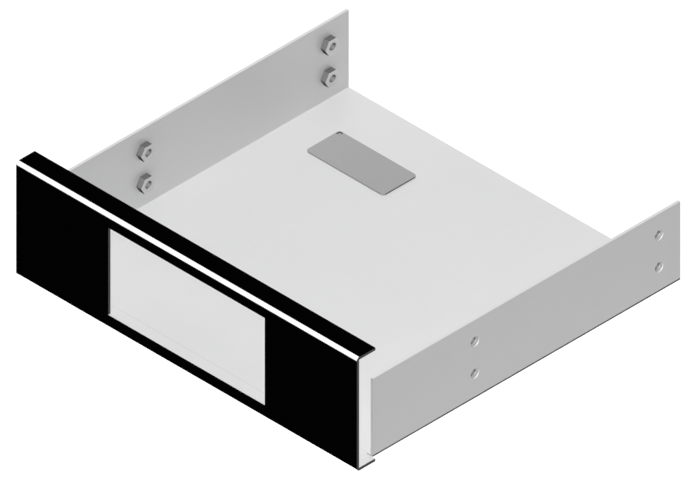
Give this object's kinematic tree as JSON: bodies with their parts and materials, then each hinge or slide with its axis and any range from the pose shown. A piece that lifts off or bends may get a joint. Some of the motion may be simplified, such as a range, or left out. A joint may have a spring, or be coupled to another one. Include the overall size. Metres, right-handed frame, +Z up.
{
  "type": "drive bay mounting frame",
  "caption": "Folded sheet-steel tray that holds a device in a half-height drive bay, with a black windowed front and threaded side fixings.",
  "frame": {"origin": "middle of the footprint, on the underside of the floor", "axes": "-Y out of the front panel, +X along the front towards its right end as seen from in front, +Z up"},
  "size_m": [0.148, 0.142, 0.0427],
  "materials": {
    "plated_sheet": "satin zinc-plated sheet, matt black paint on the front",
    "nut_steel": "satin plated steel",
    "plate_grey": "matt"
  },
  "bodies": {
    "root": {"frame": "plated_sheet", "nut_left_front_low": "nut_steel", "nut_left_front_high": "nut_steel", "nut_left_rear_low": "nut_steel", "nut_left_rear_high": "nut_steel", "nut_right_front_low": "nut_steel", "nut_right_front_high": "nut_steel", "nut_right_rear_low": "nut_steel", "nut_right_rear_high": "nut_steel", "floor_plate": "plate_grey"}
  },
  "joints": []
}
